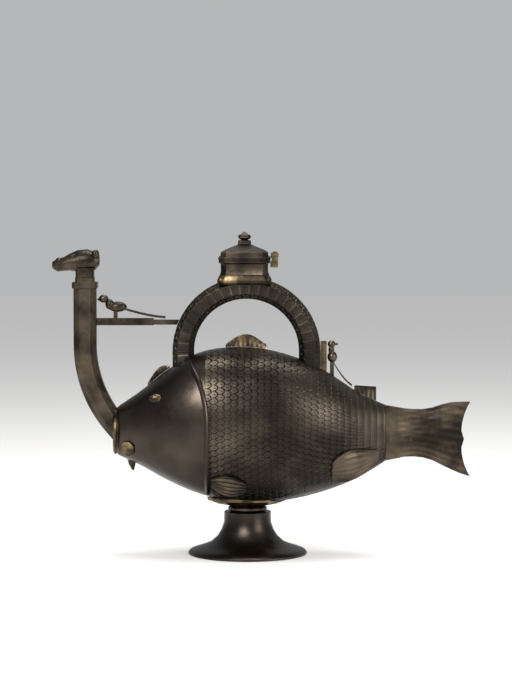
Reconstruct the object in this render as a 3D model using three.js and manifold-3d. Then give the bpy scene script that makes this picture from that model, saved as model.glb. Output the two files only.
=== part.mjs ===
import * as THREE from 'three';
import { mergeVertices } from 'three/addons/utils/BufferGeometryUtils.js';
import Module from 'manifold-3d';

const wasm = await Module();
wasm.setup();

// Common sizes, in millimetres. The foot axis is x = 0 while the piece is built, the head is at -X.
const clearance = 0.3;
const castWall = 3;

// Fish body: stations along the length with top, bottom and half width
const fishStations = [
  { x: -129, top: 149, bottom: 99, half: 17 },
  { x: -107, top: 164, bottom: 89, half: 30 },
  { x: -82, top: 184, bottom: 75, half: 43 },
  { x: -50, top: 202, bottom: 61, half: 53 },
  { x: 0, top: 208, bottom: 50, half: 57 },
  { x: 45, top: 199, bottom: 55, half: 54 },
  { x: 80, top: 183, bottom: 64, half: 44 },
  { x: 112, top: 162, bottom: 77, half: 28 },
  { x: 138, top: 150, bottom: 93, half: 13 },
];
const mouthX = -128.5;
const gillX = -42;
const tailRootX = 138;
const cavityEndX = 122;
const ringPoints = 28;
const fullness = 0.92;

// Pedestal foot
const footHeight = 42.7;
const footRim = 59.5;
const collarHeight = 6;
const collarRadius = 19.5;
const calyxLength = 41;
const calyxWidth = 27;
const calyxHeight = 8;
const calyxLobes = 12;

// Arch handle, a hollow octagonal tube
const archX = -1;
const archZ = 204;
const archRadius = 63.25;
const archRadial = 21.5;
const archDepth = 22;
const archChamfer = 5.5;
const legEndFront = 184;
const legEndRear = 178;

// Filling neck and its lid
const neckX = -3;
const neckBaseZ = 271;
const neckBaseTop = 280.5;
const neckTop = 295.5;
const neckHalf = 25.5;
const neckWaist = 23.5;
const neckBore = 18;
const channelHalf = 7.4;
const lidHalf = 26;
const lidRimHeight = 3.2;
const lidStepHeight = 4;
const lidTop = 311;

// Lid hinge
const hingeX = 27.5;
const hingeZ = 300;
const knuckleRadius = 3.7;
const pinRadius = 1.5;
const lidKnuckleHalf = 3;
const bracketHalf = 9;

// Spout, an octagonal tube that rises from the mouth
const spoutX = -162.5;
const spoutWidth = 22.7;
const spoutChamfer = 6;
const spoutTop = 267;
const bendZ = 210;
const bendRadius = 122;
const bendSweep = THREE.MathUtils.degToRad(41);
const mouthInsert = 12;
const capitalTop = 278;

// Strut between spout and handle
const strutZ = 233.5;
const strutHeight = 7;
const strutDepth = 8;

const bronze = (colour, roughness) =>
  new THREE.MeshStandardMaterial({ color: colour, roughness, metalness: 1 });

const darkBronze = 0x3a302a;
const smoothBronze = 0x453a33;
const wornBrass = 0x8a6a3c;

function solidFrom(geometry) {
  const plain = geometry.clone();
  plain.deleteAttribute('normal');
  plain.deleteAttribute('uv');
  const merged = mergeVertices(plain, 1e-4);
  return new wasm.Manifold(new wasm.Mesh({
    numProp: 3,
    vertProperties: new Float32Array(merged.attributes.position.array),
    triVerts: new Uint32Array(merged.index.array),
  }));
}

function geometryFrom(solid) {
  const mesh = solid.getMesh();
  const flat = new THREE.BufferGeometry();
  const places = [];
  for (const index of mesh.triVerts) {
    const start = index * mesh.numProp;
    places.push(mesh.vertProperties[start], mesh.vertProperties[start + 1], mesh.vertProperties[start + 2]);
  }
  flat.setAttribute('position', new THREE.Float32BufferAttribute(places, 3));
  flat.computeVertexNormals();
  return flat;
}

// A closed body from points and triangles, turned so that its faces look outward
function bodyFrom(points, triangles) {
  let volume = 0;
  for (const [a, b, c] of triangles) {
    const first = new THREE.Vector3(...points[a]);
    const cross = new THREE.Vector3(...points[b]).cross(new THREE.Vector3(...points[c]));
    volume += first.dot(cross);
  }
  const order = volume < 0 ? triangles.map(([a, b, c]) => [a, c, b]) : triangles;
  const geometry = new THREE.BufferGeometry();
  geometry.setAttribute('position', new THREE.Float32BufferAttribute(points.flat(), 3));
  geometry.setIndex(order.flat());
  return geometry;
}

function joinRings(rings, closedLoop) {
  const count = rings[0].length;
  const points = rings.flat();
  const triangles = [];
  const last = closedLoop ? rings.length : rings.length - 1;
  for (let row = 0; row < last; row += 1) {
    const next = (row + 1) % rings.length;
    for (let i = 0; i < count; i += 1) {
      const j = (i + 1) % count;
      triangles.push([row * count + i, row * count + j, next * count + j]);
      triangles.push([row * count + i, next * count + j, next * count + i]);
    }
  }
  return { points, triangles, count };
}

function middleOf(ring) {
  const sum = ring.reduce((total, p) => total.map((v, k) => v + p[k]), [0, 0, 0]);
  return sum.map((v) => v / ring.length);
}

// A solid loft with flat ends
function loft(rings) {
  const { points, triangles, count } = joinRings(rings, false);
  for (const row of [0, rings.length - 1]) {
    const centre = points.length;
    points.push(middleOf(rings[row]));
    for (let i = 0; i < count; i += 1) {
      const j = (i + 1) % count;
      const a = row * count + i;
      const b = row * count + j;
      triangles.push(row === 0 ? [centre, b, a] : [centre, a, b]);
    }
  }
  return bodyFrom(points, triangles);
}

// A pipe open at both ends: the outer rings run out and the inner rings run back
function openPipe(outer, inner) {
  const { points, triangles } = joinRings([...outer, ...inner.reverse()], true);
  return bodyFrom(points, triangles);
}

// A plate with two faces and a rim; place(u, v, side) gives a point of either face
function plate(across, along, place) {
  const points = [];
  for (const side of [-1, 1]) {
    for (let i = 0; i <= across; i += 1) {
      for (let j = 0; j <= along; j += 1) points.push(place(i / across, j / along, side));
    }
  }
  const face = (across + 1) * (along + 1);
  const at = (i, j, side) => (side < 0 ? 0 : face) + i * (along + 1) + j;
  const triangles = [];
  for (let i = 0; i < across; i += 1) {
    for (let j = 0; j < along; j += 1) {
      triangles.push([at(i, j, -1), at(i + 1, j, -1), at(i + 1, j + 1, -1)]);
      triangles.push([at(i, j, -1), at(i + 1, j + 1, -1), at(i, j + 1, -1)]);
      triangles.push([at(i, j, 1), at(i + 1, j + 1, 1), at(i + 1, j, 1)]);
      triangles.push([at(i, j, 1), at(i, j + 1, 1), at(i + 1, j + 1, 1)]);
    }
  }
  const edge = (a, b) => {
    triangles.push([at(...a, -1), at(...b, 1), at(...b, -1)]);
    triangles.push([at(...a, -1), at(...a, 1), at(...b, 1)]);
  };
  for (let i = 0; i < across; i += 1) {
    edge([i, 0], [i + 1, 0]);
    edge([i + 1, along], [i, along]);
  }
  for (let j = 0; j < along; j += 1) {
    edge([0, j + 1], [0, j]);
    edge([across, j], [across, j + 1]);
  }
  return bodyFrom(points, triangles);
}

const cut = (body, ...cutters) =>
  geometryFrom(cutters.reduce((rest, tool) => rest.subtract(solidFrom(tool)), solidFrom(body)));

const join = (...bodies) =>
  geometryFrom(bodies.slice(1).reduce((sum, body) => sum.add(solidFrom(body)), solidFrom(bodies[0])));

function block(x0, x1, y0, y1, z0, z1) {
  const box = new THREE.BoxGeometry(x1 - x0, y1 - y0, z1 - z0);
  return box.translate((x0 + x1) / 2, (y0 + y1) / 2, (z0 + z1) / 2);
}

function ball(x, y, z, rx, ry, rz) {
  return new THREE.SphereGeometry(1, 12, 8).scale(rx, ry, rz).translate(x, y, z);
}

function barrel(radius, y0, y1, x, z) {
  return new THREE.CylinderGeometry(radius, radius, y1 - y0, 20).translate(x, (y0 + y1) / 2, z);
}

function turned(profile, segments) {
  const points = profile.map(([r, z]) => new THREE.Vector2(r, z));
  return new THREE.LatheGeometry(points, segments).rotateX(Math.PI / 2);
}

// A square ring with cut corners at one height
function squareRing(x, z, half, chamfer) {
  const long = half;
  const short = half - chamfer;
  const corners = [
    [long, -short], [long, short], [short, long], [-short, long],
    [-long, short], [-long, -short], [-short, -long], [short, -long],
  ];
  return corners.map(([dx, dy]) => [x + dx, dy, z]);
}

function squareLoft(x, steps) {
  return loft(steps.map(([z, half]) => squareRing(x, z, half, half * 0.24)));
}

// Fish surface: a point at length x and angle round the section, raised by a distance
const fishCurve = new THREE.CubicInterpolant(
  fishStations.map((s) => s.x),
  fishStations.flatMap((s) => [s.top, s.bottom, s.half]),
  3,
);

function fishSection(x) {
  const [top, bottom, half] = fishCurve.evaluate(x);
  return { top, bottom, half };
}

function onFish(x, angle, raise) {
  const { top, bottom, half } = fishSection(x);
  const swell = (value) => Math.sign(value) * Math.abs(value) ** fullness;
  const height = (top - bottom) / 2 + raise;
  return [x, (half + raise) * swell(Math.cos(angle)), (top + bottom) / 2 + height * swell(Math.sin(angle))];
}

function fishRings(start, end, steps, raise) {
  return Array.from({ length: steps + 1 }, (unused, row) => {
    const x = start + ((end - start) * row) / steps;
    return Array.from({ length: ringPoints }, (none, i) => onFish(x, (2 * Math.PI * i) / ringPoints, raise));
  });
}

const fishOutside = (raise) => loft(fishRings(fishStations[0].x, tailRootX, 24, raise));

// A raised leaf that lies on the flank; span(u) gives the lower and upper angle in degrees
function flankLeaf(x0, x1, span, ribs, thickness, mirror) {
  return plate(8, ribs * 2, (u, v, side) => {
    const [low, high] = span(u);
    const angle = THREE.MathUtils.degToRad(low + (high - low) * v);
    const crown = Math.round(v * ribs * 2) % 2 === 0 ? 1 : 0.55;
    const lift = clearance + (side > 0 ? 0.6 + thickness * crown * Math.sin(Math.PI * (0.12 + 0.8 * u)) : 0);
    const [x, y, z] = onFish(x0 + (x1 - x0) * u, angle, lift);
    return [x, y * mirror, z];
  });
}

// An upright fin on the back; rise(u) gives its height over the back
function backFin(x0, x1, rise, ribs, thickness) {
  return plate(ribs * 2, 4, (u, v, side) => {
    const x = x0 + (x1 - x0) * u;
    const foot = fishSection(x).top + clearance;
    const crown = Math.round(u * ribs * 2) % 2 === 0 ? 1 : 0.6;
    return [x, side * (thickness / 2) * crown * (1 - 0.5 * v), foot + rise(u) * v];
  });
}

function octagon(width, height, chamfer) {
  const shape = new THREE.Shape();
  const w = width / 2;
  const h = height / 2;
  shape.moveTo(w, -h + chamfer);
  shape.lineTo(w, h - chamfer);
  shape.lineTo(w - chamfer, h);
  shape.lineTo(-w + chamfer, h);
  shape.lineTo(-w, h - chamfer);
  shape.lineTo(-w, -h + chamfer);
  shape.lineTo(-w + chamfer, -h);
  shape.lineTo(w - chamfer, -h);
  shape.closePath();
  return shape;
}

// The line of the handle: up the front leg, over the arch and down the rear leg
class ArchLine extends THREE.Curve {
  getPoint(t) {
    const front = archZ - legEndFront;
    const rear = archZ - legEndRear;
    const round = Math.PI * archRadius;
    const run = t * (front + round + rear);
    if (run < front) return new THREE.Vector3(archX - archRadius, 0, legEndFront + run);
    if (run > front + round) return new THREE.Vector3(archX + archRadius, 0, archZ - (run - front - round));
    const angle = Math.PI - (run - front) / archRadius;
    return new THREE.Vector3(archX + archRadius * Math.cos(angle), 0, archZ + archRadius * Math.sin(angle));
  }
}

// The line of the spout: down from the capital, round the bend and into the mouth
class SpoutLine extends THREE.Curve {
  getPoint(t) {
    const drop = spoutTop - clearance - bendZ;
    const round = bendRadius * bendSweep;
    const run = t * (drop + round + mouthInsert);
    if (run < drop) return new THREE.Vector3(spoutX, 0, spoutTop - clearance - run);
    const turn = Math.min((run - drop) / bendRadius, bendSweep);
    const angle = Math.PI + turn;
    const point = new THREE.Vector3(
      spoutX + bendRadius * (1 + Math.cos(angle)), 0, bendZ + bendRadius * Math.sin(angle));
    const rest = Math.max(run - drop - round, 0);
    return point.add(new THREE.Vector3(-Math.sin(angle), 0, Math.cos(angle)).multiplyScalar(rest));
  }
}

function tube(line, steps, width, height, chamfer, wall) {
  const shape = octagon(width, height, chamfer);
  if (wall > 0) shape.holes.push(octagon(width - 2 * wall, height - 2 * wall, chamfer * 0.75));
  return new THREE.ExtrudeGeometry(shape, { steps, extrudePath: line });
}

const handleTube = (raise, wall) =>
  tube(new ArchLine(), 48, archDepth + 2 * raise, archRadial + 2 * raise, archChamfer, wall);

const spoutPipe = (raise, wall) =>
  tube(new SpoutLine(), 26, spoutWidth + 2 * raise, spoutWidth + 2 * raise, spoutChamfer, wall);

function headShell() {
  const shell = openPipe(fishRings(mouthX, gillX, 10, 0), fishRings(mouthX, gillX, 10, -castWall));
  return cut(shell, handleTube(clearance, 0));
}

function trunkShell() {
  const outside = loft(fishRings(gillX + clearance, tailRootX, 16, 0));
  const inside = loft(fishRings(gillX - 1, cavityEndX, 14, -castWall));
  return cut(outside, inside, handleTube(clearance, 0));
}

// The forked tail, with raised rays and a small tab in the middle
function tailFin() {
  const finLength = 76;
  const rays = 9;
  const lower = new THREE.SplineCurve([[0, 94], [0.18, 98], [0.45, 96], [0.75, 86], [1, 78]]
    .map((p) => new THREE.Vector2(...p)));
  const upper = new THREE.SplineCurve([[0, 149.5], [0.18, 146], [0.45, 146], [0.75, 152], [1, 153]]
    .map((p) => new THREE.Vector2(...p)));
  return plate(9, rays * 2, (u, v, side) => {
    const fork = 9 * Math.abs(2 * v - 1) ** 2.5;
    const tab = 3 * Math.exp(-(((v - 0.5) / 0.07) ** 2));
    const x = tailRootX + clearance + u * (finLength + fork + tab);
    const low = lower.getPoint(u).y;
    const high = upper.getPoint(u).y;
    const ray = Math.round(v * rays * 2) % 2 === 0 ? 1 : 0.62;
    const rootThickness = 11 * Math.sin(Math.PI * (0.12 + 0.76 * v));
    const thickness = THREE.MathUtils.lerp(rootThickness, 3 * ray, Math.min(u * 2.5, 1));
    return [x, side * thickness, low + (high - low) * v];
  });
}

function foot() {
  const inner = [[0, 38.5], [20, 38], [21.5, 26], [26.5, 15.5], [34, 8.6], [44, 4.4], [54, 1.2], [footRim - 3, 0]];
  const outline = [[footRim, 0], [footRim, 2], [57.7, 3.8], [52.3, 5.8], [45.2, 8], [37, 11.6], [30, 18],
    [26, 25], [23.7, 32], [23.5, footHeight]];
  return turned([...inner, ...outline, [0, footHeight]], 40);
}

function footCollar() {
  const low = footHeight + clearance;
  const bulge = 2.2;
  return turned([
    [0, low], [collarRadius - bulge, low], [collarRadius, low + 1.8], [collarRadius, low + collarHeight - 2.2],
    [collarRadius - bulge, low + collarHeight - clearance], [0, low + collarHeight - clearance],
  ], 32);
}

// The lobed cup under the belly
function calyx() {
  const low = footHeight + collarHeight + clearance;
  const stages = [[0, 0.5], [2.5, 0.82], [5, 0.97], [calyxHeight, 1]];
  const rings = stages.map(([rise, share]) => Array.from({ length: 48 }, (unused, i) => {
    const angle = (2 * Math.PI * i) / 48;
    const lobe = 1 - 0.07 * share * Math.abs(Math.sin((angle * calyxLobes) / 2));
    return [calyxLength * share * lobe * Math.cos(angle), calyxWidth * share * lobe * Math.sin(angle), low + rise];
  }));
  return cut(loft(rings), fishOutside(clearance));
}

function handleArch() {
  const opening = block(
    neckX - channelHalf, neckX + channelHalf, -channelHalf, channelHalf, archZ + archRadius, neckBaseTop);
  return cut(handleTube(0, castWall), opening);
}

function neckBase() {
  const body = squareLoft(neckX, [[neckBaseZ, 25], [neckBaseZ + 2, 27], [neckBaseZ + 5, 27], [neckBaseTop, 24.5]]);
  const opening = block(
    neckX - channelHalf, neckX + channelHalf, -channelHalf, channelHalf, neckBaseZ - 5, neckBaseTop + 5);
  return cut(body, handleTube(clearance, 0), opening);
}

function fillerNeck() {
  const low = neckBaseTop + clearance;
  const outside = squareLoft(neckX, [[low, 24.5], [low + 3, neckWaist], [neckTop - 4, neckWaist],
    [neckTop - 2.5, neckHalf], [neckTop, neckHalf]]);
  return cut(outside, squareLoft(neckX, [[low - 1, neckBore], [neckTop + 1, neckBore]]));
}

function lid() {
  const low = neckTop + clearance;
  const step = low + lidRimHeight;
  const roof = step + lidStepHeight;
  const outside = squareLoft(neckX, [[low, lidHalf], [step - 0.6, lidHalf], [step, lidHalf - 2],
    [roof, lidHalf - 2.5], [roof + 2, lidHalf - 6], [lidTop, 6]]);
  const hollow = squareLoft(neckX, [[low - 1, neckBore - 1], [step + 1, neckBore - 1], [lidTop - 4, 4]]);
  return cut(outside, hollow);
}

function lidKnop() {
  const low = lidTop + clearance;
  const bud = squareLoft(neckX, [[low, 6.7], [low + 3.4, 6.2], [low + 4, 3.4], [low + 6, 5.4], [low + 8.6, 4.6],
    [low + 12, 1]]);
  return join(bud, ball(neckX - 4.4, 0, low + 7, 2, 2, 2.4), ball(neckX + 4.4, 0, low + 7, 2, 2, 2.4));
}

function lidKnuckle() {
  const arm = block(neckX + lidHalf + clearance, hingeX, -lidKnuckleHalf, lidKnuckleHalf, hingeZ - 3, hingeZ + 2.5);
  const body = join(arm, barrel(knuckleRadius, -lidKnuckleHalf, lidKnuckleHalf, hingeX, hingeZ));
  return cut(body, barrel(pinRadius + clearance, -bracketHalf, bracketHalf, hingeX, hingeZ));
}

function hingeBracket() {
  const inner = lidKnuckleHalf + clearance;
  const base = block(neckX + neckHalf + clearance, hingeX + 3, -bracketHalf, bracketHalf, hingeZ - 12, hingeZ - 6);
  const ears = [[-bracketHalf, -inner], [inner, bracketHalf]].map(([y0, y1]) => join(
    barrel(knuckleRadius, y0, y1, hingeX, hingeZ),
    block(hingeX - 3.2, hingeX + 3, y0, y1, hingeZ - 7, hingeZ),
  ));
  const hole = barrel(pinRadius + clearance, -bracketHalf - 1, bracketHalf + 1, hingeX, hingeZ);
  return cut(join(base, ...ears), hole);
}

function mouthCollar() {
  const band = (x, grow) => Array.from({ length: ringPoints }, (unused, i) => {
    const angle = (2 * Math.PI * i) / ringPoints;
    return [x, (17 + grow) * Math.cos(angle), 124 + (23 + grow) * Math.sin(angle)];
  });
  const body = loft([band(-134.5, -1), band(-133, 1), band(-131, 0), band(mouthX - clearance, 2)]);
  return cut(body, spoutPipe(clearance, 0));
}

function spoutCapital() {
  const body = squareLoft(spoutX, [[spoutTop, 12.6], [spoutTop + 6, 12.6], [spoutTop + 6.5, 9.5],
    [capitalTop, 9.5]]);
  return cut(body, block(spoutX - 6, spoutX + 6, -6, 6, spoutTop - 1, capitalTop + 1));
}

// The beast head over the capital: an open neck, and a snout that points forward and pours
function spoutHead() {
  const low = capitalTop + clearance;
  const stations = [
    [-195, 290, 3.5, 4], [-190, 290, 6.5, 6], [-184, 291, 7, 7], [-178, 293, 8.5, 8.5], [-170, 294, 11, 10],
    [-160, 294.5, 11.5, 10.5], [-152, 294, 9, 9], [-148, 295, 5, 6],
  ];
  const skull = loft(stations.map(([x, z, tall, wide]) => Array.from({ length: 16 }, (unused, i) => {
    const angle = (2 * Math.PI * i) / 16;
    return [x, wide * Math.cos(angle), z + tall * Math.sin(angle)];
  })));
  const collar = squareLoft(spoutX, [[low, 9], [low + 9, 9]]);
  const nose = ball(-188.5, 0, 294.5, 3.6, 4.6, 3.2);
  const ears = [-1, 1].map((side) => ball(-152, side * 8, 301, 3.4, 2.2, 4.4));
  const brows = [-1, 1].map((side) => ball(-174, side * 6.4, 299, 4.2, 2.6, 2.6));
  const rise = block(spoutX - 5.5, spoutX + 5.5, -5.5, 5.5, low - 1, 293);
  const pour = block(-199, spoutX, -3, 3, 286.5, 291.5);
  return cut(join(skull, collar, nose, ...ears, ...brows), rise, pour);
}

function strutBar() {
  const half = strutDepth / 2;
  const bar = block(spoutX, -94, -half, half, strutZ - strutHeight / 2, strutZ + strutHeight / 2);
  const link = block(-95, archX - archRadius, -half * 0.6, half * 0.6, strutZ - 3, strutZ + 2);
  return cut(join(bar, link), handleTube(clearance, 0), spoutPipe(clearance, 0));
}

function frontBird() {
  const top = strutZ + strutHeight / 2 + clearance;
  const tail = plate(6, 2, (u, v, side) => {
    const x = -134 + 52 * u;
    const z = top + 12 * (1 - u) ** 1.5 + 0.6;
    return [x, (v - 0.5) * (6 - 2.5 * u), z + side * 1.1];
  });
  const leg = block(-134, -130, -2.4, 2.4, top, top + 8);
  return join(ball(-130, 0, top + 11, 9.5, 5, 5.4), ball(-138, 0, top + 13.5, 4.5, 4, 5.4),
    ball(-144, 0, top + 19, 5, 3.6, 4.2), ball(-148, 0, top + 18.5, 2.4, 1.4, 1.4), leg, tail);
}

const postX = archX + archRadius + archRadial / 2 + clearance;

function rearPost() {
  return cut(block(postX, postX + 6, -4, 4, 184, 214), fishOutside(clearance));
}

function rearBird() {
  const x = postX + 6 + clearance;
  const tail = plate(6, 2, (u, v, side) => {
    const place = x + 5 + 20 * u;
    return [place, (v - 0.5) * 5, fishSection(place).top + 3 + 12 * (1 - u) ** 2 + side * 1.1];
  });
  const body = join(ball(x + 5.4, 0, 198, 5, 4.6, 6), ball(x + 4.4, 0, 205, 3, 3, 4.6),
    ball(x + 4.6, 0, 211, 4, 3.2, 3.8), ball(x + 9, 0, 211, 2.4, 1.2, 1.3),
    block(x + 3, x + 7, -2, 2, 176, 196), tail);
  return cut(body, fishOutside(clearance));
}

const sides = [['left', -1], ['right', 1]];

function eye(side) {
  const [x, y, z] = onFish(-90.5, THREE.MathUtils.degToRad(36), clearance);
  return cut(ball(x, y * side, z, 7.2, 3.4, 4.8), fishOutside(clearance));
}

// The curved rib behind the gill: it leans forward over the cheek at its top
function gillRib(side) {
  return plate(14, 4, (u, v, face) => {
    const angle = THREE.MathUtils.degToRad(76 - 140 * u);
    const lean = 22 * Math.max(Math.sin(angle), 0) ** 2;
    const x = -40 - lean + 5 * (v - 0.5);
    const lift = clearance + (face > 0 ? 0.5 + 2.2 * Math.sin(Math.PI * v) : 0);
    const [px, py, pz] = onFish(x, angle, lift);
    return [px, py * side, pz];
  });
}

const leafSpan = (middle, width) => (u) => {
  const half = width * Math.sin(Math.PI * (0.1 + 0.8 * u)) ** 0.7;
  return [middle - half, middle + half];
};

function chinBarbel() {
  const spike = loft([[-115, 84, 1], [-116, 90, 3.4], [-117, 98, 4.6]].map(([x, z, radius]) =>
    Array.from({ length: 10 }, (unused, i) => {
      const angle = (2 * Math.PI * i) / 10;
      return [x + radius * Math.cos(angle), radius * 0.8 * Math.sin(angle), z];
    })));
  return cut(spike, fishOutside(clearance));
}

const parts = new THREE.Group();
parts.name = 'fish_ewer';

function add(name, geometry, material) {
  geometry.computeVertexNormals();
  const mesh = new THREE.Mesh(geometry, material);
  mesh.name = name;
  parts.add(mesh);
}

add('head_shell', headShell(), bronze(smoothBronze, 0.42));
add('trunk_shell', trunkShell(), bronze(darkBronze, 0.5));
add('tail_fin', tailFin(), bronze(darkBronze, 0.5));
add('foot', foot(), bronze(smoothBronze, 0.35));
add('foot_collar', footCollar(), bronze(darkBronze, 0.45));
add('calyx', calyx(), bronze(wornBrass, 0.45));
add('handle_arch', handleArch(), bronze(darkBronze, 0.45));
add('neck_base', neckBase(), bronze(wornBrass, 0.45));
add('filler_neck', fillerNeck(), bronze(darkBronze, 0.45));
add('lid', lid(), bronze(darkBronze, 0.42));
add('lid_knop', lidKnop(), bronze(darkBronze, 0.42));
add('lid_knuckle', lidKnuckle(), bronze(wornBrass, 0.4));
add('hinge_bracket', hingeBracket(), bronze(wornBrass, 0.4));
add('hinge_pin', barrel(pinRadius, -bracketHalf - 1, bracketHalf + 1, hingeX, hingeZ), bronze(wornBrass, 0.35));
add('spout_tube', spoutPipe(0, castWall), bronze(darkBronze, 0.42));
add('mouth_collar', mouthCollar(), bronze(wornBrass, 0.45));
add('spout_capital', spoutCapital(), bronze(darkBronze, 0.45));
add('spout_head', spoutHead(), bronze(darkBronze, 0.45));
add('strut_bar', strutBar(), bronze(darkBronze, 0.45));
add('front_bird', frontBird(), bronze(darkBronze, 0.45));
add('rear_bird', rearBird(), bronze(darkBronze, 0.45));
add('rear_post', rearPost(), bronze(wornBrass, 0.4));
add('dorsal_crest', backFin(-22, 20, (u) => 2.5 + 10 * Math.sin(Math.PI * u), 9, 5), bronze(wornBrass, 0.45));
add('forehead_leaf', backFin(-100, -78, (u) => 2 + 6 * Math.sin(Math.PI * u), 4, 6), bronze(darkBronze, 0.45));
add('rear_dorsal_fin', backFin(107, 129, (u) => 4 + 10 * u ** 0.8, 5, 5), bronze(darkBronze, 0.45));
for (const [word, side] of sides) {
  add(`eye_${word}`, eye(side), bronze(wornBrass, 0.35));
  add(`gill_rib_${word}`, gillRib(side), bronze(smoothBronze, 0.42));
  add(`pectoral_fin_${word}`, flankLeaf(-36, -1, leafSpan(-45, 11), 5, 3, side), bronze(darkBronze, 0.45));
  add(`ventral_fin_${word}`, flankLeaf(84, 131, leafSpan(-36, 24), 6, 3, side), bronze(darkBronze, 0.45));
  add(`lip_leaf_${word}`, flankLeaf(-127, -113, leafSpan(-32, 16), 3, 2, side), bronze(wornBrass, 0.42));
}
add('chin_barbel', chinBarbel(), bronze(darkBronze, 0.45));

// The whole piece moves so that the middle of its length is at x = 0
const bounds = new THREE.Box3().setFromObject(parts);
const shift = -(bounds.min.x + bounds.max.x) / 2;
for (const mesh of parts.children) mesh.geometry.translate(shift, 0, 0);

export default parts;
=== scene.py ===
import math

import bmesh
import bpy
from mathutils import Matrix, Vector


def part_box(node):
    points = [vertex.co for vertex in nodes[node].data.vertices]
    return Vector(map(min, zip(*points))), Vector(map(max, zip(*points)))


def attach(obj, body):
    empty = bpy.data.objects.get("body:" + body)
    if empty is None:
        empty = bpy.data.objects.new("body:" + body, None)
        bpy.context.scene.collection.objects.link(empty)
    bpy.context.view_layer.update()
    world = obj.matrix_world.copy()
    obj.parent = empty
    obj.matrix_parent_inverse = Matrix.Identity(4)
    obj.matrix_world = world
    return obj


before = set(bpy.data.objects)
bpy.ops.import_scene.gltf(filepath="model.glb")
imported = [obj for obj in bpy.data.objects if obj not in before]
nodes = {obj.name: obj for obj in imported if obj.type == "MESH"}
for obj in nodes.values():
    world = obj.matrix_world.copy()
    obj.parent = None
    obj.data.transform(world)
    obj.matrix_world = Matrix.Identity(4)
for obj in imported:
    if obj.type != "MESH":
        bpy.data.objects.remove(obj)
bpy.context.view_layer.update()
print("stage: frame loaded")

# The part's middle line, read from the frame
trunkLow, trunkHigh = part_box("trunk_shell")
archLow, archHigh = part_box("handle_arch")
crestLow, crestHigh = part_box("dorsal_crest")
headLow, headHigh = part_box("spout_head")
baseLow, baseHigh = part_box("neck_base")
trunkMiddleZ = (trunkLow[2] + trunkHigh[2]) / 2
archRadius = (archHigh[0] - archLow[0]) / 2
archX = (archLow[0] + archHigh[0]) / 2
archZ = archHigh[2] - archRadius


# A number socket that builds Math nodes from Python expressions
class Value:

    def __init__(self, tree, socket):
        self.tree = tree
        self.socket = socket

    def math(self, operation, *others):
        node = self.tree.nodes.new("ShaderNodeMath")
        node.operation = operation
        for index, entry in enumerate((self, *others)):
            if isinstance(entry, Value):
                self.tree.links.new(entry.socket, node.inputs[index])
            else:
                node.inputs[index].default_value = entry
        return Value(self.tree, node.outputs[0])

    def __add__(self, other):
        return self.math("ADD", other)

    def __radd__(self, other):
        return self.math("ADD", other)

    def __sub__(self, other):
        return self.math("SUBTRACT", other)

    def __rsub__(self, other):
        return self.math("MULTIPLY", -1.0).math("ADD", other)

    def __mul__(self, other):
        return self.math("MULTIPLY", other)

    def __rmul__(self, other):
        return self.math("MULTIPLY", other)

    def __truediv__(self, other):
        return self.math("DIVIDE", other)


# A node material with a Principled shader and helpers for any other node
class Finish:

    def __init__(self, name):
        self.material = bpy.data.materials.new(name)
        self.material.use_nodes = True
        self.tree = self.material.node_tree
        self.shader = self.tree.nodes["Principled BSDF"]

    def node(self, kind, inputs=None, **settings):
        made = self.tree.nodes.new(kind)
        for key, value in settings.items():
            setattr(made, key, value)
        for key, value in (inputs or {}).items():
            if isinstance(value, Value):
                self.tree.links.new(value.socket, made.inputs[key])
            elif isinstance(value, bpy.types.NodeSocket):
                self.tree.links.new(value, made.inputs[key])
            else:
                made.inputs[key].default_value = value
        return made

    def place(self):
        coordinates = self.node("ShaderNodeTexCoord").outputs["Object"]
        split = self.node("ShaderNodeSeparateXYZ", {0: coordinates})
        return coordinates, [Value(self.tree, socket) for socket in split.outputs]

    def noise(self, coordinates, scale, detail=4.0):
        made = self.node("ShaderNodeTexNoise", {"Vector": coordinates, "Scale": scale, "Detail": detail})
        return Value(self.tree, made.outputs[0])

    # A Mix node's colour sockets come after its number and vector ones
    def blend(self, factor, first, second):
        made = self.node("ShaderNodeMix", data_type="RGBA")
        self.tree.links.new(factor.socket, made.inputs[0])
        made.inputs[6].default_value = (*first, 1)
        made.inputs[7].default_value = (*second, 1)
        return made.outputs[2]

    def feed(self, name, source):
        socket = source.socket if isinstance(source, Value) else source
        self.tree.links.new(socket, self.shader.inputs[name])

    def relief(self, height, distance):
        made = self.node("ShaderNodeBump", {"Height": height, "Distance": distance})
        self.feed("Normal", made.outputs[0])


# Shape of one scale, in shares of its length and width
scaleShape = {
    "squash": 3.0, "rimReach": 0.93, "rimWidth": 0.13, "lineWidth": 0.06,
    "lineStart": 0.3, "lineEnd": 0.65, "lineDepth": 0.6,
}


# Rows of incised crescents, each row set half a scale from the last, with a short line in each
def scaleRelief(along, around):
    row = along.math("FLOOR")
    stagger = row.math("MODULO", 2.0) * 0.5
    reach = along.math("FRACT")
    sideways = (around + stagger).math("FRACT") - 0.5
    distance = (reach * reach + sideways * sideways * scaleShape["squash"]).math("SQRT")
    fromRim = (distance - scaleShape["rimReach"]).math("ABSOLUTE")
    rim = 1.0 - (fromRim / scaleShape["rimWidth"]).math("MINIMUM", 1.0)
    line = 1.0 - (sideways.math("ABSOLUTE") / scaleShape["lineWidth"]).math("MINIMUM", 1.0)
    afterStart = reach.math("GREATER_THAN", scaleShape["lineStart"])
    beforeEnd = reach.math("LESS_THAN", scaleShape["lineEnd"])
    short = line * afterStart * beforeEnd
    return 1.0 - rim.math("MAXIMUM", short * scaleShape["lineDepth"])


# How worn patches and grain change the metal, the same for every finish
wearLook = {
    "start": 0.42, "contrast": 4.0, "keptInLines": 0.4, "grainDetail": 6.0,
    "grainRoughness": 0.16, "wornSmoother": 0.06,
}


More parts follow.
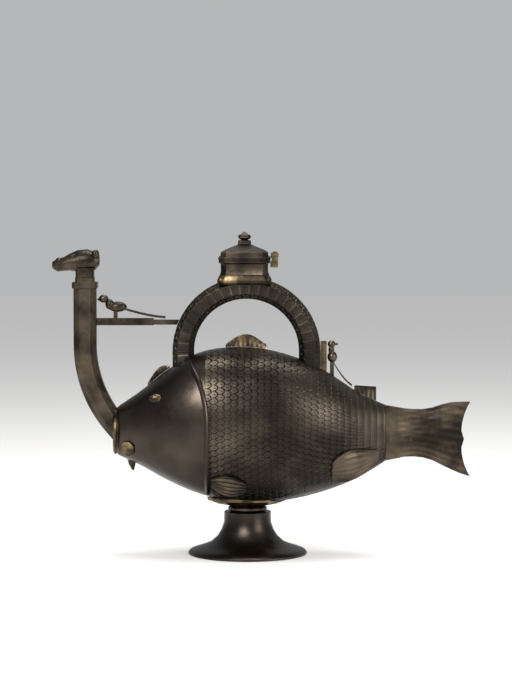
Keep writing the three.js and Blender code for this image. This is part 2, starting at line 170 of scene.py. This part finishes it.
def bronzeFinish(name, settings, pattern=None):
    finish = Finish(name)
    coordinates, places = finish.place()
    broad = finish.noise(coordinates, settings["patchScale"])
    fine = finish.noise(coordinates, settings["grainScale"], wearLook["grainDetail"])
    patches = (broad - wearLook["start"]) * wearLook["contrast"]
    wear = patches.math("MINIMUM", 1.0).math("MAXIMUM", 0.0)
    finish.shader.inputs["Metallic"].default_value = 1.0
    height = fine * settings["grainHeight"]
    if pattern:
        relief = pattern(places)
        height = height + relief
        wear = wear * (relief * (1.0 - wearLook["keptInLines"]) + wearLook["keptInLines"])
    finish.feed("Base Color", finish.blend(wear, settings["dark"], settings["light"]))
    grain = fine * wearLook["grainRoughness"]
    finish.feed("Roughness", settings["roughness"] + grain - wear * wearLook["wornSmoother"])
    finish.relief(height, settings["reliefDepth"])
    return finish.material


def trunkScales(places):
    x, y, z = places
    around = (z - trunkMiddleZ).math("ARCTAN2", y) * (trunkLook["scalesRound"] / math.tau)
    return scaleRelief((x - trunkLow[0]) / trunkLook["scaleLength"], around)


# Whole cells are added so that the counts along and across the handle stay positive
def handleScales(places):
    x, y, z = places
    along = (z - archZ).math("ARCTAN2", x - archX) * (archRadius / handleLook["scaleLength"])
    across = y / handleLook["scaleLength"]
    return scaleRelief(along + handleLook["cellsAlong"], across + handleLook["cellsAcross"])


# Trunk: dark brown cast bronze with incised scales
trunkLook = {
    "dark": (0.026, 0.021, 0.018), "light": (0.1, 0.08, 0.06), "roughness": 0.3, "patchScale": 16.0,
    "grainScale": 260.0, "grainHeight": 0.3, "reliefDepth": 0.0007,
    "scaleLength": 0.0066, "scalesRound": 62,
}
trunkBronze = bronzeFinish("trunk bronze", trunkLook, trunkScales)

# Handle: smaller scales round the arch
handleLook = {
    "dark": (0.024, 0.02, 0.017), "light": (0.085, 0.068, 0.052), "roughness": 0.3, "patchScale": 22.0,
    "grainScale": 280.0, "grainHeight": 0.3, "reliefDepth": 0.0005, "scaleLength": 0.0055,
    "cellsAlong": 64.0, "cellsAcross": 8.0,
}
handleBronze = bronzeFinish("handle bronze", handleLook, handleScales)

# Head and foot: smoother metal with only its cast grain
smoothLook = {
    "dark": (0.034, 0.027, 0.023), "light": (0.085, 0.068, 0.055), "roughness": 0.27, "patchScale": 12.0,
    "grainScale": 190.0, "grainHeight": 1.0, "reliefDepth": 0.00012,
}
smoothBronze = bronzeFinish("smooth bronze", smoothLook)

# Small castings: birds, spout, fins, tail and lid
castLook = {
    "dark": (0.026, 0.021, 0.017), "light": (0.11, 0.085, 0.06), "roughness": 0.3, "patchScale": 38.0,
    "grainScale": 240.0, "grainHeight": 1.0, "reliefDepth": 0.0002,
}
castBronze = bronzeFinish("cast bronze", castLook)

# Worn edges, where handling has bared the brassy metal
wornLook = {
    "dark": (0.04, 0.03, 0.021), "light": (0.26, 0.19, 0.105), "roughness": 0.28, "patchScale": 60.0,
    "grainScale": 260.0, "grainHeight": 1.0, "reliefDepth": 0.0002,
}
wornBrass = bronzeFinish("worn brass", wornLook)

finishes = {
    "trunk_shell": trunkBronze,
    "handle_arch": handleBronze,
    "head_shell": smoothBronze,
    "foot": smoothBronze,
    "gill_rib_left": smoothBronze,
    "gill_rib_right": smoothBronze,
}
brassNodes = (
    "calyx", "neck_base", "lid_knuckle", "hinge_bracket", "hinge_pin", "mouth_collar", "rear_post",
    "dorsal_crest", "eye_left", "eye_right", "lip_leaf_left", "lip_leaf_right",
)
softEdge = {"weld": 0.00001, "width": 0.00035, "segments": 2, "angle": math.radians(32)}
for name, node in nodes.items():
    chosen = wornBrass if name in brassNodes else finishes.get(name, castBronze)
    node.data.materials.clear()
    node.data.materials.append(chosen)
    if "custom_normal" in node.data.attributes:
        node.data.attributes.remove(node.data.attributes["custom_normal"])
    node.data.polygons.foreach_set("use_smooth", [True] * len(node.data.polygons))
    weld = node.modifiers.new("weld", "WELD")
    weld.merge_threshold = softEdge["weld"]
    edge = node.modifiers.new("soft edge", "BEVEL")
    edge.width = softEdge["width"]
    edge.segments = softEdge["segments"]
    edge.limit_method = "ANGLE"
    edge.angle_limit = softEdge["angle"]
    edge.harden_normals = True
print("stage: finishes on the cast pieces")


# Round bosses at a list of places, as one piece on a body
def beadRow(name, places, radius, finish, body):
    mesh = bpy.data.meshes.new(name)
    shape = bmesh.new()
    for place in places:
        made = bmesh.ops.create_icosphere(shape, subdivisions=2, radius=radius)
        bmesh.ops.translate(shape, verts=made["verts"], vec=place)
    shape.to_mesh(mesh)
    shape.free()
    mesh.polygons.foreach_set("use_smooth", [True] * len(mesh.polygons))
    mesh.materials.append(finish)
    piece = bpy.data.objects.new(name, mesh)
    bpy.context.scene.collection.objects.link(piece)
    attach(piece, body)


# Knobs along the rays of the fan crest
crestKnobs = {"count": 9, "radius": 0.0013, "inset": 0.0022, "endHeight": 0.32}
crestSpan = crestHigh[0] - crestLow[0]
crestRise = crestHigh[2] - crestLow[2] - 2 * crestKnobs["inset"]
crestPlaces = []
for index in range(crestKnobs["count"]):
    share = (index + 0.5) / crestKnobs["count"]
    arch = (1 - crestKnobs["endHeight"]) * math.sin(math.pi * share)
    lift = crestRise * (crestKnobs["endHeight"] + arch)
    crestPlaces.append((crestLow[0] + crestSpan * share, 0.0, crestLow[2] + lift))
beadRow("crest_knobs", crestPlaces, crestKnobs["radius"], wornBrass, "ewer")

# Curls of the mane over the beast head, in two rows
mane = {
    "count": 7, "radius": 0.0021, "spread": 0.0034,
    "start": 0.5, "length": 0.38, "depth": 0.0036, "endDrop": 0.0018,
}
manePlaces = []
for side in (-1, 1):
    for index in range(mane["count"]):
        share = index / (mane["count"] - 1)
        x = headLow[0] + (headHigh[0] - headLow[0]) * (mane["start"] + mane["length"] * share)
        z = headHigh[2] - mane["depth"] - mane["endDrop"] * abs(2 * share - 1)
        manePlaces.append((x, side * mane["spread"], z))
beadRow("mane_curls", manePlaces, mane["radius"], castBronze, "ewer")

# Corner bosses on the moulding under the neck
bosses = {"radius": 0.0022, "corner": 0.86, "depth": 0.0045}
bossX = (baseLow[0] + baseHigh[0]) / 2
bossReach = (baseHigh[0] - baseLow[0]) / 2 * bosses["corner"]
bossZ = baseHigh[2] - bosses["depth"]
bossPlaces = [(bossX + sx * bossReach, sy * bossReach, bossZ) for sx in (-1, 1) for sy in (-1, 1)]
beadRow("neck_bosses", bossPlaces, bosses["radius"], wornBrass, "ewer")
print("stage: bosses, knobs and curls")

# Camera, at the photograph's angle
view = {"distance": 2.392, "tilt": math.radians(3.65), "aimX": -0.00565, "aimZ": 0.2105, "lens": 125.0}
cameraData = bpy.data.cameras.new("camera")
cameraData.lens = view["lens"]
camera = bpy.data.objects.new("camera", cameraData)
cameraZ = view["aimZ"] + view["distance"] * math.tan(view["tilt"])
camera.location = (view["aimX"], -view["distance"], cameraZ)
camera.rotation_euler = (math.pi / 2 - view["tilt"], 0, 0)
bpy.context.scene.collection.objects.link(camera)
bpy.context.scene.camera = camera


def softLight(name, place, aim, size, power):
    data = bpy.data.lights.new(name, "AREA")
    data.size = size
    data.energy = power
    light = bpy.data.objects.new(name, data)
    light.location = place
    heading = [target - start for target, start in zip(aim, place)]
    flat = math.hypot(heading[0], heading[1])
    light.rotation_euler = (math.atan2(flat, -heading[2]), 0, math.atan2(-heading[0], heading[1]))
    bpy.context.scene.collection.objects.link(light)


# Soft lights: name, place, size and power, all turned to the middle of the fish
lightAim = (0, 0, 0.16)
softLights = (
    ("key light", (-0.55, -1.5, 1.25), 0.8, 30),
    ("fill light", (1.5, -1.1, 0.7), 1.0, 16),
    ("top light", (0.1, 0.2, 1.6), 0.9, 22),
)
for name, place, size, power in softLights:
    softLight(name, place, lightAim, size, power)

# Pale floor and background
floorFinish = Finish("floor")
floorFinish.shader.inputs["Base Color"].default_value = (0.74, 0.73, 0.71, 1)
floorFinish.shader.inputs["Roughness"].default_value = 0.8
floorMesh = bpy.data.meshes.new("floor")
floorReach = 6.0
floorCorners = [(sx * floorReach, sy * floorReach, 0) for sx, sy in ((-1, -1), (1, -1), (1, 1), (-1, 1))]
floorMesh.from_pydata(floorCorners, [], [(0, 1, 2, 3)])
floorMesh.materials.append(floorFinish.material)
floor = bpy.data.objects.new("floor", floorMesh)
bpy.context.scene.collection.objects.link(floor)

world = bpy.data.worlds.new("world")
world.use_nodes = True
bpy.context.scene.world = world
worldTree = world.node_tree


def backgroundLight(colour, strength):
    made = worldTree.nodes.new("ShaderNodeBackground")
    made.inputs["Color"].default_value = (*colour, 1)
    made.inputs["Strength"].default_value = strength
    return made.outputs[0]


def chooseByRay(ray, otherwise, chosen):
    made = worldTree.nodes.new("ShaderNodeMixShader")
    worldTree.links.new(rays.outputs[ray], made.inputs[0])
    worldTree.links.new(otherwise, made.inputs[1])
    worldTree.links.new(chosen, made.inputs[2])
    return made.outputs[0]


# The room lights the floor evenly, shines less in the metal, and shows as plain grey behind it
roomColour = (0.75, 0.76, 0.78)
rays = worldTree.nodes.new("ShaderNodeLightPath")
room = backgroundLight(roomColour, 0.9)
mirrored = backgroundLight(roomColour, 0.45)
backdrop = backgroundLight((0.47, 0.475, 0.48), 1.0)
lit = chooseByRay("Is Camera Ray", chooseByRay("Is Glossy Ray", room, mirrored), backdrop)
worldTree.nodes.remove(worldTree.nodes["Background"])
worldTree.links.new(lit, worldTree.nodes["World Output"].inputs[0])
bpy.context.scene.view_settings.view_transform = "Standard"
print("stage: camera, lights and floor")
